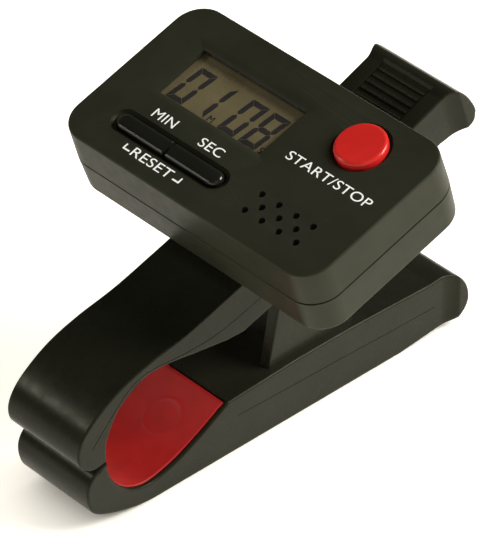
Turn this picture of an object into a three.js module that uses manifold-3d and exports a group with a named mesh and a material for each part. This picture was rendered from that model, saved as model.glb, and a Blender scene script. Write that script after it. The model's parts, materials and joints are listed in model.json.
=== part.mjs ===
// Clip-on countdown timer: an LCD timer head that swivels on top of a two-armed spring clip.
// Millimetres, +Z up. The origin is on the ground under the pivot pin, X runs along the pin,
// +Y points to the finger grips and -Y to the jaws.
import * as THREE from 'three';
import { mergeVertices } from 'three/addons/utils/BufferGeometryUtils.js';
import Module from 'manifold-3d';

const wasm = await Module();
wasm.setup();

// ---- driving dimensions ----
const gap = 0.3; // clearance between neighbouring pieces
const overcut = 1; // how far a cutter runs past the face it opens
const bite = 0.5; // how far a joined solid reaches into its neighbour
const skin = 0.01; // overlap that leaves no skin between two cutters

const headWidth = 70;
const headDepth = 38.9;
const frontHeight = 7.9;
const headHeight = 15.9;
const headCorner = 6.2;
const caseWall = 1.6;
const faceThickness = 2;
const draft = 0.2; // how far each side of the front shell widens towards the parting line
const rearTaper = 0.27; // how far each side of the rear shell draws in towards its floor

const displayCentre = { x: -10.75, y: 4.8 };
const windowWidth = 28.5;
const windowDepth = 12.7;
const bevelWidth = 3.1;
const bevelDepth = 1.85;
const bevelDrop = 0.95;
const bevelCorner = 0.6;
const windowCorner = 0.4;
const lcdMargin = 1.7; // how far the glass reaches past the window on each side
const lcdThickness = 1.8;

const startCentre = { x: 19.4, y: 10.45 };
const startRadius = 5.3;
const startProud = 1.2;
const startRim = 0.9;
const startStem = 1.77;
const startRecessMargin = 0.45;
const startRecessDrop = 0.45;
const rowButtonCentre = { x: -11.2, y: -11 };
const rowButtonLength = 14;
const rowButtonDepth = 3.8;
const rowButtonProud = 0.55;
const rowRecessMargin = 0.55;
const rowRecessDrop = 0.5;
const rowSplit = 0.5; // gap between the two row buttons
const rowStem = 1.27;
const buttonStroke = 0.8;
const flangeLip = 0.9; // how far a button's flange reaches under the face
const flangeThickness = 0.8;

const speakerCentre = { x: 18.75, y: -10.96 };
const speakerPitch = 4.6;
const speakerHole = 0.75;
const buzzerRadius = 6.4;
const buzzerThickness = 0.5;
const buzzerChamber = 0.8;

const domeRadius = 2.5;
const domeThickness = 0.3;
const boardThickness = 1.2;
const boardInset = 6.5; // from the case's end wall to the board's end, clear of the screw posts
const boardEdge = 1.4; // from the case's long wall to the board's edge
const boardCorner = 1;
const boardScrewFront = 3.6; // from the case's long walls to the board screws
const boardScrewBack = 4.4;
const boardPostWall = 0.65;
const boardPostClearance = 1.35; // between the glass and the posts of the board screws
const zebraDepth = 2.2;
const chipRadius = 4;
const chipDrop = 1.3;
const chipEdge = 0.2;
const cellRadius = 5.8;
const cellHeight = 5.4;
const cellCentre = { x: 21, y: 0 };
const capThickness = 1.4;
const capMargin = 1.8;
const wellWall = 1.1;
const contactThickness = 0.3;
const negativeContact = { length: 10, width: 3 };
const positiveContact = { width: 5, foot: 1 };
const coinSlot = { length: 9, width: 1.6, depth: 0.7 };

const screwInset = 5;
const screwShank = 1;
const screwHead = 2.1;
const screwHeadHeight = 1.2;
const screwSunk = 0.4;
const counterbore = 2;
const boardScrewShank = 0.8;
const boardScrewHead = 1.7;
const boardScrewHeadHeight = 0.9;
const screwReach = 2; // from the inside of the face to the screws' tips
const boreReach = 1; // from the inside of the face to the end of the screws' bores
const driverSlot = { width: 0.6, depth: 0.5 };
const postWall = 1.3;
const rearPostWall = 1;

const armWidth = 20.4;
const armEdge = 0.3; // rounding of the arms' long edges
const armTilt = 17.4; // degrees, the upper arm and head above the horizontal
const armTop = 11.3; // upper arm's flat top above the pin axis
const roofThickness = 1.7;
const skirtWall = 1.45;
const pivotHeight = 33.25;
const pinRadius = 1.5;
const pinHeadRadius = 2.8;
const pinHeadThickness = 0.9;
const earRadius = 5.2;
const cheekThickness = 2.7;
const cheekRadius = 6.5;
const headShift = 2; // the head's centre lies this far behind the pin
const swivelBossRadius = 8;
const swivelBossHeight = 2;
const swivelScrewRadius = 1.6;
const swivelScrewHead = 3.4;
const swivelScrewHeadHeight = 1.6;
const swivelHoleDepth = 2.8; // above the underside of the rear shell
const swivelHoleRoof = 1.2;
const swivelPostWall = 2.4;
const washerThickness = 0.6;
const washerMargin = 0.4;
const padThickness = 1.2;
const padProud = 0.1; // how far a pad stands out of its pocket
const padInset = 1.1;
const padShares = { upper: [0.04, 0.97], lower: [0.03, 0.985] }; // from a jaw's lip, along its curve
const wireRadius = 0.6;
const springRadius = 3.3;
const springTurns = 6;
const lowerBase = 13.7; // height of the lower arm's top at the cheeks
const pocketWall = 1.8;
const pocketRoof = 3;
const gripFlare = 1.4; // how far each side of a finger grip widens towards its end
const flareLength = 4;
const ribCount = 7;
const ribPitch = 2;
const ribStart = 27.5;
const ribLength = 12.3;
const ribHeight = 0.5;
const ribWidth = 0.9;
const recessDrop = 0.8;

// ---- solids ----
const circleSteps = 28;

function toSolid(geometry) {
  const plain = geometry.index ? geometry.toNonIndexed() : geometry.clone();
  plain.deleteAttribute('normal');
  plain.deleteAttribute('uv');
  const merged = mergeVertices(plain, 1e-4);
  const mesh = new wasm.Mesh({
    numProp: 3,
    vertProperties: new Float32Array(merged.attributes.position.array),
    triVerts: new Uint32Array(merged.index.array),
  });
  return new wasm.Manifold(mesh);
}

function toGeometry(solid) {
  const mesh = solid.getMesh();
  const geometry = new THREE.BufferGeometry();
  geometry.setAttribute('position', new THREE.BufferAttribute(mesh.vertProperties, 3));
  geometry.setIndex(new THREE.BufferAttribute(mesh.triVerts, 1));
  geometry.computeVertexNormals();
  return geometry;
}

const cutAll = (solid, cutters) => cutters.reduce((rest, cutter) => rest.subtract(cutter), solid);
const joinAll = (solids) => solids.reduce((whole, solid) => whole.add(solid));

// A box between two corners.
function block(low, high) {
  const size = high.map((value, axis) => value - low[axis]);
  const geometry = new THREE.BoxGeometry(...size);
  geometry.translate(...low.map((value, axis) => value + size[axis] / 2));
  return toSolid(geometry);
}

// An upright disc or rod at (x, y) between two heights.
function disc(centre, radius, zLow, zHigh, steps = circleSteps) {
  const geometry = new THREE.CylinderGeometry(radius, radius, zHigh - zLow, steps);
  geometry.rotateX(Math.PI / 2);
  geometry.translate(centre.x, centre.y, (zLow + zHigh) / 2);
  return toSolid(geometry);
}

// A rod along X on the axis through (y, z) = (0, 0).
function rodX(radius, xLow, xHigh, steps = circleSteps) {
  const geometry = new THREE.CylinderGeometry(radius, radius, xHigh - xLow, steps);
  geometry.rotateZ(Math.PI / 2);
  geometry.translate((xLow + xHigh) / 2, 0, 0);
  return toSolid(geometry);
}

// A turned piece on the upright axis at (x, y), from its [radius, height] profile.
function lathed(centre, profile, steps = circleSteps) {
  const geometry = new THREE.LatheGeometry(profile, steps);
  geometry.rotateX(Math.PI / 2);
  geometry.translate(centre.x, centre.y, 0);
  return toSolid(geometry);
}

// An upright slab with the given outline between two heights. inset draws its lower end in.
function slab(shape, zLow, zHigh, inset = 0, segments = 6) {
  const geometry = new THREE.ExtrudeGeometry(stepped(shape, segments), {
    depth: zHigh - zLow,
    bevelEnabled: false,
    curveSegments: segments,
  });
  geometry.translate(0, 0, zLow);
  if (inset) {
    geometry.computeBoundingBox();
    const box = geometry.boundingBox;
    const centre = box.getCenter(new THREE.Vector3());
    const size = box.getSize(new THREE.Vector3());
    const position = geometry.attributes.position;
    for (let i = 0; i < position.count; i += 1) {
      if (position.getZ(i) > zLow + 1e-6) continue;
      position.setX(i, centre.x + (position.getX(i) - centre.x) * (1 - (2 * inset) / size.x));
      position.setY(i, centre.y + (position.getY(i) - centre.y) * (1 - (2 * inset) / size.y));
    }
  }
  return toSolid(geometry);
}

// The outline as straight steps, without repeated points.
function stepped(shape, segments) {
  const line = shape.getPoints(segments);
  const kept = line.filter((point, i) => point.distanceTo(line[(i + 1) % line.length]) > 1e-3);
  return new THREE.Shape(kept);
}

// A slab across the object: the outline is in the YZ plane and the slab runs along X.
function sideSlab(shape, xLow, xHigh, segments = 4, edge = 0) {
  const geometry = new THREE.ExtrudeGeometry(stepped(shape, segments), {
    depth: xHigh - xLow - 2 * edge,
    bevelEnabled: edge > 0,
    bevelThickness: edge,
    bevelSize: edge,
    bevelOffset: -edge,
    bevelSegments: 2,
    curveSegments: segments,
  });
  geometry.translate(0, 0, xLow + edge);
  const axes = new THREE.Matrix4().makeBasis(
    new THREE.Vector3(0, 1, 0),
    new THREE.Vector3(0, 0, 1),
    new THREE.Vector3(1, 0, 0),
  );
  geometry.applyMatrix4(axes);
  return toSolid(geometry);
}

function roundedRectangle(centre, width, depth, radius) {
  const shape = new THREE.Shape();
  const x = width / 2 - radius;
  const y = depth / 2 - radius;
  shape.absarc(centre.x + x, centre.y - y, radius, -Math.PI / 2, 0);
  shape.absarc(centre.x + x, centre.y + y, radius, 0, Math.PI / 2);
  shape.absarc(centre.x - x, centre.y + y, radius, Math.PI / 2, Math.PI);
  shape.absarc(centre.x - x, centre.y - y, radius, Math.PI, Math.PI * 1.5);
  return shape;
}

const points = (pairs) => pairs.map(([a, b]) => new THREE.Vector2(a, b));

// A strip that follows a curve, between two distances to its left.
function strip(curve, near, far, count = 26) {
  const side = (distance) => {
    const line = [];
    for (let i = 0; i <= count; i += 1) {
      const point = curve.getPointAt(i / count);
      const tangent = curve.getTangentAt(i / count);
      line.push(new THREE.Vector2(point.x - tangent.y * distance, point.y + tangent.x * distance));
    }
    return line;
  };
  return new THREE.Shape([...side(near), ...side(far).reverse()]);
}

// ---- scene graph ----
const clip = new THREE.Group();
const upperGroup = new THREE.Group(); // origin on the pin axis, Y along the upper arm
upperGroup.position.z = pivotHeight;
upperGroup.rotation.x = THREE.MathUtils.degToRad(armTilt);
const headGroup = new THREE.Group(); // origin at the centre of the head's face
headGroup.position.set(0, headShift, armTop + gap + swivelBossHeight + headHeight);
clip.add(upperGroup);
upperGroup.add(headGroup);

const finish = (color, roughness, metalness = 0) =>
  new THREE.MeshStandardMaterial({ color, roughness, metalness });
const looks = {
  case: finish(0x16161a, 0.45),
  arm: finish(0x121214, 0.28),
  button: finish(0x0e0e10, 0.22),
  red: finish(0xc4161c, 0.22),
  pad: finish(0xb81a1c, 0.6),
  lcd: finish(0x6e6455, 0.3),
  board: finish(0x1f5a34, 0.5),
  resin: finish(0x101010, 0.35),
  elastomer: finish(0xb9a9a4, 0.7),
  steel: finish(0xb4b6ba, 0.3, 1),
  brass: finish(0xc9a24a, 0.3, 1),
};

function add(group, name, solid, look) {
  const mesh = new THREE.Mesh(toGeometry(solid), looks[look]);
  mesh.name = name;
  group.add(mesh);
}

// ---- levels inside the head, down from its face ----
const faceInside = -faceThickness;
const flangeTop = faceInside - gap;
const flangeBottom = flangeTop - flangeThickness;
const lcdTop = faceInside - gap;
const lcdBottom = lcdTop - lcdThickness;
const boardBottom = -frontHeight;
const boardTop = boardBottom + boardThickness;
const domeTop = boardTop + gap + domeThickness;
const stemBottom = domeTop + buttonStroke + gap;
const rearTop = -frontHeight - gap;
const floorInside = -headHeight + caseWall;
const innerWidth = headWidth - 2 * caseWall;
const innerDepth = headDepth - 2 * caseWall;
const innerCorner = headCorner - caseWall;
const middle = { x: 0, y: 0 };

const caseScrews = [];
for (const sx of [-1, 1]) {
  for (const sy of [-1, 1]) {
    caseScrews.push({ x: sx * (headWidth / 2 - screwInset), y: sy * (headDepth / 2 - screwInset) });
  }
}
const rowLeft = rowButtonCentre.x - rowSplit / 2 - rowButtonLength;
const rowRight = rowButtonCentre.x + rowSplit / 2 + rowButtonLength;
const lcdWidth = windowWidth + 2 * lcdMargin;
const lcdDepth = windowDepth + 2 * lcdMargin;
const boardPost = boardScrewShank + gap + boardPostWall;
const casePost = screwShank + gap + postWall;
const boardScrews = [
  { x: (rowRight + gap + flangeLip + speakerCentre.x - buzzerRadius) / 2,
    y: -innerDepth / 2 + boardScrewFront },
  { x: displayCentre.x + lcdWidth / 2 + boardPostClearance + boardPost,
    y: innerDepth / 2 - boardScrewBack },
];

// Rounded at one end only, for one half of the row button.
function halfPill(xFlat, direction, length, depth, centreY) {
  const radius = depth / 2;
  const shape = new THREE.Shape();
  const xArc = xFlat + direction * (length - radius);
  const start = direction > 0 ? -Math.PI / 2 : Math.PI / 2;
  shape.moveTo(xFlat, centreY - direction * radius);
  shape.lineTo(xArc, centreY - direction * radius);
  shape.absarc(xArc, centreY, radius, start, start + Math.PI);
  shape.lineTo(xFlat, centreY + direction * radius);
  shape.closePath();
  return shape;
}

// ---- head: front shell ----
function speakerHoles() {
  const holes = [];
  for (const row of [-1, 0, 1]) {
    const count = row === 0 ? 3 : 4;
    for (let i = 0; i < count; i += 1) {
      const x = speakerCentre.x + (i - (count - 1) / 2) * speakerPitch;
      const y = speakerCentre.y + (row * speakerPitch) / 2;
      holes.push(disc({ x, y }, speakerHole, faceInside - overcut, overcut, 10));
    }
  }
  return holes;
}

function frontCase() {
  const outline = roundedRectangle(middle, headWidth, headDepth, headCorner);
  const inside = roundedRectangle(middle, innerWidth, innerDepth, innerCorner);
  const shell = slab(outline, -frontHeight, 0, -draft);
  const hollow = slab(inside, -frontHeight - overcut, faceInside);
  const posts = [
    ...caseScrews.map((at) => disc(at, casePost, -frontHeight, faceInside + bite)),
    ...boardScrews.map((at) => disc(at, boardPost, boardTop + gap, faceInside + bite)),
  ];
  const rowLength = rowRight - rowLeft;
  const recess = roundedRectangle(
    rowButtonCentre,
    rowLength + 2 * (gap + rowRecessMargin),
    rowButtonDepth + 2 * (gap + rowRecessMargin),
    rowButtonDepth / 2 + gap + rowRecessMargin - skin,
  );
  const slot = roundedRectangle(
    rowButtonCentre,
    rowLength + 2 * gap,
    rowButtonDepth + 2 * gap,
    rowButtonDepth / 2 + gap - skin,
  );
  const cutters = [
    ...caseScrews.map((at) => disc(at, screwShank + gap, -frontHeight - overcut, faceInside - boreReach)),
    ...boardScrews.map((at) => disc(at, boardScrewShank + gap, boardTop - overcut, faceInside - boreReach)),
    bevelCut(),
    slab(
      roundedRectangle(displayCentre, windowWidth, windowDepth, windowCorner),
      faceInside - overcut,
      -bevelDrop + skin,
    ),
    slab(recess, -rowRecessDrop, overcut),
    slab(slot, faceInside - overcut, overcut),
    disc(startCentre, startRadius + gap, faceInside - overcut, overcut),
    disc(startCentre, startRadius + gap + startRecessMargin, -startRecessDrop, overcut),
    ...speakerHoles(),
  ];
  return cutAll(joinAll([shell.subtract(hollow), ...posts]), cutters);
}

// The sloping frame of the display: wide at the face, the window's size at its foot.
function bevelCut() {
  const width = windowWidth + 2 * bevelWidth;
  const depth = windowDepth + 2 * bevelDepth;
  const outline = roundedRectangle(displayCentre, width, depth, bevelCorner);
  const geometry = new THREE.ExtrudeGeometry(outline, {
    depth: bevelDrop,
    bevelEnabled: false,
    curveSegments: 3,
  });
  geometry.translate(0, 0, -bevelDrop);
  const position = geometry.attributes.position;
  for (let i = 0; i < position.count; i += 1) {
    const low = position.getZ(i) < -bevelDrop / 2;
    const fx = low ? windowWidth / width : 1;
    const fy = low ? windowDepth / depth : 1;
    position.setX(i, displayCentre.x + (position.getX(i) - displayCentre.x) * fx);
    position.setY(i, displayCentre.y + (position.getY(i) - displayCentre.y) * fy);
    if (!low) position.setZ(i, skin);
  }
  return toSolid(geometry);
}

// ---- head: rear shell with the battery well and the swivel boss ----
const capRadius = cellRadius + capMargin;
const wellRadius = capRadius + gap;
const swivelPostTop = -headHeight + swivelHoleDepth + swivelHoleRoof;

function rearCase() {
  const outline = roundedRectangle(middle, headWidth + 2 * draft, headDepth + 2 * draft, headCorner + draft);
  const inside = roundedRectangle(middle, innerWidth, innerDepth, innerCorner);
  const shell = slab(outline, -headHeight, rearTop, rearTaper);
  const hollow = slab(inside, floorInside, rearTop + overcut, rearTaper);
  const added = [
    ...caseScrews.map((at) => disc(at, screwHead + gap + rearPostWall, floorInside - bite, rearTop)),
    disc(cellCentre, wellRadius + wellWall, floorInside - bite, boardBottom - cellHeight / 2),
    disc(middle, swivelBossRadius, -headHeight - swivelBossHeight, floorInside - bite),
    disc(middle, swivelScrewRadius + swivelPostWall, floorInside - bite, swivelPostTop),
  ];
  const cutters = [
    ...caseScrews.map((at) => disc(at, screwHead + gap, -headHeight - overcut, -headHeight + counterbore)),
    ...caseScrews.map((at) => disc(at, screwShank + gap, -headHeight, rearTop + overcut)),
    disc(cellCentre, wellRadius, -headHeight - overcut, rearTop + overcut),
    disc(
      middle,
      swivelScrewRadius + gap,
      -headHeight - swivelBossHeight - overcut,
      -headHeight + swivelHoleDepth,
    ),
  ];
  return cutAll(joinAll([shell.subtract(hollow), ...added]), cutters);
}

// ---- head: buttons ----
function startButton() {
  const profile = new THREE.Path();
  profile.moveTo(0, stemBottom);
  profile.lineTo(startStem, stemBottom);
  profile.lineTo(startStem, flangeBottom);
  profile.lineTo(startRadius + gap + flangeLip, flangeBottom);
  profile.lineTo(startRadius + gap + flangeLip, flangeTop);
  profile.lineTo(startRadius, flangeTop);
  profile.lineTo(startRadius, startProud - startRim);
  profile.absarc(startRadius - startRim, startProud - startRim, startRim, 0, Math.PI / 2);
  profile.lineTo(0, startProud);
  return lathed(startCentre, profile.getPoints(3));
}

function rowButton(direction) {
  const flat = rowButtonCentre.x + (direction * rowSplit) / 2;
  const y = rowButtonCentre.y;
  const cap = halfPill(flat, direction, rowButtonLength, rowButtonDepth, y);
  const flange = halfPill(
    flat,
    direction,
    rowButtonLength + gap + flangeLip,
    rowButtonDepth + 2 * (gap + flangeLip),
    y,
  );
  const stem = { x: flat + (direction * rowButtonLength) / 2, y };
  return joinAll([
    slab(cap, flangeTop - flangeThickness / 2, rowButtonProud),
    slab(flange, flangeBottom, flangeTop),
    disc(stem, rowStem, stemBottom, flangeBottom + flangeThickness / 2, 12),
  ]);
}

// ---- head: electronics ----
function circuitBoard() {
  const width = innerWidth - 2 * boardInset;
  const depth = innerDepth - 2 * boardEdge;
  const outline = roundedRectangle(middle, width, depth, boardCorner);
  const board = slab(outline, boardBottom, boardTop, 0, 2);
  const holes = boardScrews.map((at) =>
    disc(at, boardScrewShank + gap, boardBottom - overcut, boardTop + overcut, 12));
  return cutAll(board, holes);
}

function screw(at, shank, head, headHigh, zHead, zTip) {
  return joinAll([
    disc(at, head, zHead, zHead + headHigh, 16),
    disc(at, shank, zHead + headHigh / 2, zTip, 12),
  ]).subtract(block(
    [at.x - head, at.y - driverSlot.width / 2, zHead - overcut],
    [at.x + head, at.y + driverSlot.width / 2, zHead + driverSlot.depth],
  ));
}

// The drop of resin that covers the bare chip under the board.
function resinDome() {
  const top = boardBottom - gap;
  const drop = new THREE.Path();
  drop.moveTo(0, top - chipDrop);
  drop.quadraticCurveTo(chipRadius * 0.8, top - chipDrop, chipRadius, top - chipEdge);
  drop.lineTo(chipRadius, top);
  drop.lineTo(0, top);
  return lathed({ x: displayCentre.x, y: 0 }, drop.getPoints(5), 18);
}

const zebraY = displayCentre.y + lcdDepth / 2 - zebraDepth / 2 - gap;
const cellTop = -headHeight + capThickness + gap + cellHeight;

// The display's glass, notched where a corner post of the case would pass through it.
function lcdPanel() {
  const glass = block(
    [displayCentre.x - lcdWidth / 2, displayCentre.y - lcdDepth / 2, lcdBottom],
    [displayCentre.x + lcdWidth / 2, displayCentre.y + lcdDepth / 2, lcdTop],
  );
  const notches = caseScrews.map((at) => disc(at, casePost + gap, lcdBottom - overcut, lcdTop + overcut));
  return cutAll(glass, notches);
}

function buildHead() {
  add(headGroup, 'front_case', frontCase(), 'case');
  add(headGroup, 'rear_case', rearCase(), 'case');
  add(headGroup, 'lcd_panel', lcdPanel(), 'lcd');
  add(headGroup, 'zebra_strip', block(
    [displayCentre.x - windowWidth / 2, zebraY - zebraDepth / 2, boardTop + gap],
    [displayCentre.x + windowWidth / 2, zebraY + zebraDepth / 2, lcdBottom - gap],
  ), 'elastomer');
  add(headGroup, 'circuit_board', circuitBoard(), 'board');
  add(headGroup, 'controller_chip', resinDome(), 'resin');
  const buzzerTop = faceInside - buzzerChamber;
  const buzzer = disc(speakerCentre, buzzerRadius, buzzerTop - buzzerThickness, buzzerTop);
  add(headGroup, 'buzzer', buzzer, 'brass');

  add(headGroup, 'start_stop_button', startButton(), 'red');
  add(headGroup, 'min_button', rowButton(-1), 'button');
  add(headGroup, 'sec_button', rowButton(1), 'button');
  const stemOffset = rowSplit / 2 + rowButtonLength / 2;
  const domes = {
    start_stop_dome: startCentre,
    min_dome: { x: rowButtonCentre.x - stemOffset, y: rowButtonCentre.y },
    sec_dome: { x: rowButtonCentre.x + stemOffset, y: rowButtonCentre.y },
  };
  for (const [name, at] of Object.entries(domes)) {
    add(headGroup, name, disc(at, domeRadius, domeTop - domeThickness, domeTop, 16), 'steel');
  }

  add(headGroup, 'battery_cell', disc(cellCentre, cellRadius, cellTop - cellHeight, cellTop), 'steel');
  add(headGroup, 'battery_contact_negative', block(
    [cellCentre.x - negativeContact.length / 2, cellCentre.y - negativeContact.width / 2,
      boardBottom - gap - contactThickness],
    [cellCentre.x + negativeContact.length / 2, cellCentre.y + negativeContact.width / 2, boardBottom - gap],
  ), 'steel');
  const contactX = cellCentre.x - cellRadius - gap - contactThickness;
  add(headGroup, 'battery_contact_positive', block(
    [contactX, cellCentre.y - positiveContact.width / 2, cellTop - cellHeight + positiveContact.foot],
    [contactX + contactThickness, cellCentre.y + positiveContact.width / 2, boardBottom - 2 * gap],
  ), 'steel');
  const capBottom = -headHeight;
  const slot = block(
    [cellCentre.x - coinSlot.length / 2, cellCentre.y - coinSlot.width / 2, capBottom - overcut],
    [cellCentre.x + coinSlot.length / 2, cellCentre.y + coinSlot.width / 2, capBottom + coinSlot.depth],
  );
  const cap = disc(cellCentre, capRadius, capBottom, capBottom + capThickness).subtract(slot);
  add(headGroup, 'battery_cap', cap, 'case');

  const screwTip = faceInside - screwReach;
  caseScrews.forEach((at, i) => {
    add(headGroup, `case_screw_${i + 1}`,
      screw(at, screwShank, screwHead, screwHeadHeight, -headHeight + screwSunk, screwTip), 'steel');
  });
  const boardScrewLow = boardBottom - gap - boardScrewHeadHeight;
  boardScrews.forEach((at, i) => {
    add(headGroup, `board_screw_${i + 1}`,
      screw(at, boardScrewShank, boardScrewHead, boardScrewHeadHeight, boardScrewLow, screwTip), 'steel');
  });
}

// ---- upper arm ----
const half = armWidth / 2;
const lipY = -56;
const lipZ = -1;
const upperJaw = new THREE.SplineCurve(points([
  [lipY, lipZ], [-54.4, 3.4], [-50, 7.8], [-45, 9.7], [-41, 9.8], [-36.4, 8.2], [-30, 5], [-23, 1.6],
]));
const gripStart = 31.3;
const upperGripEnd = 38.2; // where the upper grip begins to widen
const skirtLow = 0.2;

// Widening of a grip past where it starts.
const flareAt = (y, start) => gripFlare * THREE.MathUtils.clamp((y - start) / flareLength, 0, 1) ** 2;

// The end of a finger grip: a bar between the upper and the lower edge of its side, which widens past start.
function gripTip(upperEdge, lowerEdge, start) {
  const cut = armEdge / half;
  const section = new THREE.Shape(points([
    [cut - 1, -1], [1 - cut, -1], [1, cut - 1], [1, 1 - cut],
    [1 - cut, 1], [cut - 1, 1], [-1, 1 - cut], [-1, cut - 1],
  ]));
  const geometry = new THREE.ExtrudeGeometry(section, { depth: 1, steps: 12, bevelEnabled: false });
  const position = geometry.attributes.position;
  for (let i = 0; i < position.count; i += 1) {
    const along = position.getZ(i);
    const at = lowerEdge.getPoint(along).lerp(upperEdge.getPoint(along), (position.getY(i) + 1) / 2);
    position.setXYZ(i, -position.getX(i) * (half + flareAt(at.x, start)), at.x, at.y);
  }
  return toSolid(geometry);
}

// A strip that lines a jaw between two distances from its curve. side is 1 where the jaw opens to the left
// of the curve. grow makes it longer at both ends.
function lining(curve, [from, to], side, near, far, halfWidth, grow = 0) {
  const count = 24;
  const kept = [];
  const start = from - grow / curve.getLength();
  const end = to + grow / curve.getLength();
  for (let i = 0; i <= count; i += 1) kept.push(curve.getPointAt(start + ((end - start) * i) / count));
  return sideSlab(strip(new THREE.SplineCurve(kept), side * near, side * far), -halfWidth, halfWidth);
}

const jawPad = (curve, share, side) =>
  lining(curve, share, side, padProud - padThickness, padProud, half - padInset);

const padPocket = (curve, share, side) =>
  lining(curve, share, side, padProud - padThickness - gap, overcut, half - padInset + gap, gap);

function upperOutline() {
  const shape = new THREE.Shape();
  shape.moveTo(27, armTop);
  shape.lineTo(-22, armTop);
  shape.splineThru(points([
    [-31, 11.4], [-41, 12.4], [-49, 12.2], [-56.6, 10], [-60.6, 6.9], [-61.6, 3], [-59.6, -0.2], [lipY, lipZ],
  ]));
  shape.splineThru(upperJaw.points.slice(1));
  shape.lineTo(-19, skirtLow);
  shape.lineTo(-earRadius, skirtLow);
  shape.absarc(0, 0, earRadius, Math.PI * 0.99, Math.PI * 2);
  shape.lineTo(35.7, 2.2);
  shape.lineTo(upperGripEnd, 2);
  shape.lineTo(upperGripEnd, 12.3);
  shape.lineTo(gripStart, 11.8);
  shape.closePath();
  return shape;
}

function upperTip() {
  return gripTip(
    new THREE.SplineCurve(points([
      [37.6, 12.2], [38.8, 12.4], [40.9, 12.8], [42.4, 12], [44.1, 9.1], [45.1, 5.6],
    ])),
    new THREE.SplineCurve(points([
      [37.6, 2.1], [38.8, 1.9], [42.3, 1.9], [44, 2.4], [44.8, 3.6], [45.1, 4.9],
    ])),
    upperGripEnd,
  );
}

function upperArm() {
  const body = joinAll([sideSlab(upperOutline(), -half, half, 4, armEdge), upperTip()]);
  const channel = half - skirtWall;
  const recessEnd = ribStart + ribCount * ribPitch;
  const roof = armTop - roofThickness;
  const cutters = [
    block([-channel, -20, -20], [channel, gripStart + 2, roof]),
    block([-channel, gripStart, -20], [channel, 41, roof - 1.4]),
    block([-ribLength / 2, ribStart - ribPitch / 2, armTop - recessDrop],
      [ribLength / 2, recessEnd, armTop + 5]),
    rodX(pinRadius + gap, -half - overcut, half + overcut),
    disc({ x: 0, y: headShift }, swivelScrewRadius + gap, roof - overcut, armTop + overcut, 20),
    padPocket(upperJaw, padShares.upper, -1),
  ];
  const ribs = [];
  for (let i = 0; i < ribCount; i += 1) {
    const y = ribStart + i * ribPitch;
    const low = armTop - recessDrop;
    ribs.push(block(
      [-ribLength / 2 - bite, y, low - bite],
      [ribLength / 2 + bite, y + ribWidth, low + ribHeight],
    ));
  }
  return joinAll([cutAll(body, cutters), ...ribs]);
}

// ---- lower arm ----
const lowerJaw = new THREE.SplineCurve(points([
  [-53.1, 15.3], [-52.5, 12], [-50.6, 8.5], [-47.2, 5.6],
  [-42.7, 4.3], [-36.2, 5.7], [-29.8, 8.6], [-22.2, 12.9],
]));

const lowerGripEnd = 34.6; // where the lower grip begins to widen

function lowerOutline() {
  const shape = new THREE.Shape();
  shape.moveTo(-42, 0);
  shape.lineTo(24, 0);
  shape.lineTo(lowerGripEnd, 0.95);
  shape.lineTo(lowerGripEnd, 13);
  shape.lineTo(32, 12.9);
  shape.lineTo(10, lowerBase);
  shape.lineTo(-4, lowerBase);
  shape.lineTo(lowerJaw.points.at(-1).x, lowerJaw.points.at(-1).y);
  shape.splineThru(lowerJaw.points.slice(0, -1).reverse());
  shape.splineThru(points([
    [-56.4, 13.6], [-58, 11], [-57.9, 7.6], [-56.3, 4.4], [-52, 2.2], [-46.5, 0.6], [-42, 0],
  ]));
  return shape;
}

function cheekOutline() {
  const shape = new THREE.Shape();
  shape.moveTo(-10.4, lowerBase - bite);
  shape.lineTo(12.4, lowerBase - bite);
  shape.lineTo(cheekRadius * Math.cos(0.15), pivotHeight);
  shape.absarc(0, pivotHeight, cheekRadius, 0.15, Math.PI * 1.04);
  shape.closePath();
  return shape;
}

function lowerTip() {
  return gripTip(
    new THREE.SplineCurve(points([[34, 12.9], [35.5, 13.1], [38.2, 12.4], [40.6, 9.4], [41.4, 6.2]])),
    new THREE.SplineCurve(points([[34, 1], [35.5, 1.05], [38, 1.6], [40.3, 3.2], [41.4, 5.3]])),
    lowerGripEnd,
  );
}

function lowerArm() {
  const body = joinAll([sideSlab(lowerOutline(), -half, half, 4, armEdge), lowerTip()]);
  const cheekOuter = half - skirtWall - gap;
  const cheeks = [-1, 1].map((side) => {
    const edges = [side * cheekOuter, side * (cheekOuter - cheekThickness)].sort((a, b) => a - b);
    return sideSlab(cheekOutline(), edges[0], edges[1], 10);
  });
  const inside = half - pocketWall;
  const ceiling = lowerBase - pocketRoof;
  const pockets = [
    block([-inside, -20, -overcut], [inside, -4, ceiling - 1]),
    block([-inside, 4, -overcut], [inside, 18, ceiling]),
    block([-inside, 20, -overcut], [inside, 33, ceiling - 0.6]),
  ];
  const bore = raised(rodX(pinRadius + gap, -half - overcut, half + overcut));
  return cutAll(joinAll([body, ...cheeks]), [...pockets, bore, padPocket(lowerJaw, padShares.lower, 1)]);
}

// ---- pivot hardware ----
const springPitch = 2.5 * wireRadius;
const legReach = 18;
const upperLegReach = 22;
const lowerLegEnd = { y: legReach, z: lowerBase + gap + wireRadius - pivotHeight };
const tilt = THREE.MathUtils.degToRad(armTilt);
const underRoof = armTop - roofThickness - gap - wireRadius;
const upperLegEnd = {
  y: upperLegReach * Math.cos(tilt) - underRoof * Math.sin(tilt),
  z: upperLegReach * Math.sin(tilt) + underRoof * Math.cos(tilt),
};

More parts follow.
